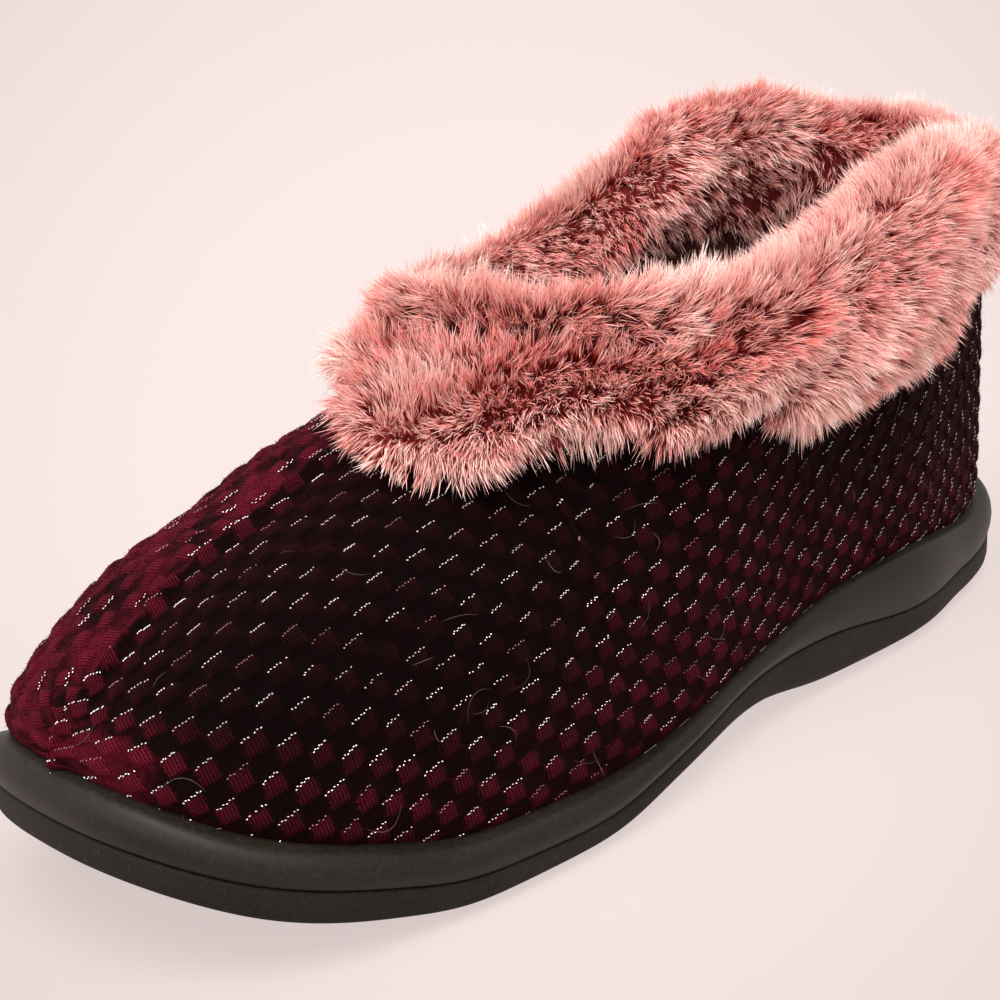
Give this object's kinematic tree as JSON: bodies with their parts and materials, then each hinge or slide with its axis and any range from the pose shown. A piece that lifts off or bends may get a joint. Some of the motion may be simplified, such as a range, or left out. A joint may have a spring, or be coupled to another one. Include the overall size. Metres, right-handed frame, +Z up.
{
  "type": "bootie slipper",
  "caption": "Low bootie slipper for the left foot: hollow pile-cloth upper with a raised centre seam, deep fur cuff round the collar, insole and two-layer platform sole.",
  "frame": {"origin": "on the floor, in the middle of the flat spot under the heel", "axes": "+X towards the toe, +Y towards the outer side of the left foot, +Z up"},
  "size_m": [0.2688, 0.0919, 0.1166],
  "materials": {
    "outsole_rubber": "fine grain, matt, charcoal",
    "platform_cover": "smooth satin cover, charcoal",
    "footbed_pile": "short pile, dull pink",
    "pile_cloth": "velvet pile woven in a checker with ribbed squares and fine metallic dashes, burgundy",
    "fur": "deep soft fur, salmon pink with dark red roots and pale tips"
  },
  "bodies": {
    "root": {"outsole": "outsole_rubber", "midsole": "platform_cover", "insole": "footbed_pile", "upper": "pile_cloth", "fur_cuff": "fur"}
  },
  "joints": []
}
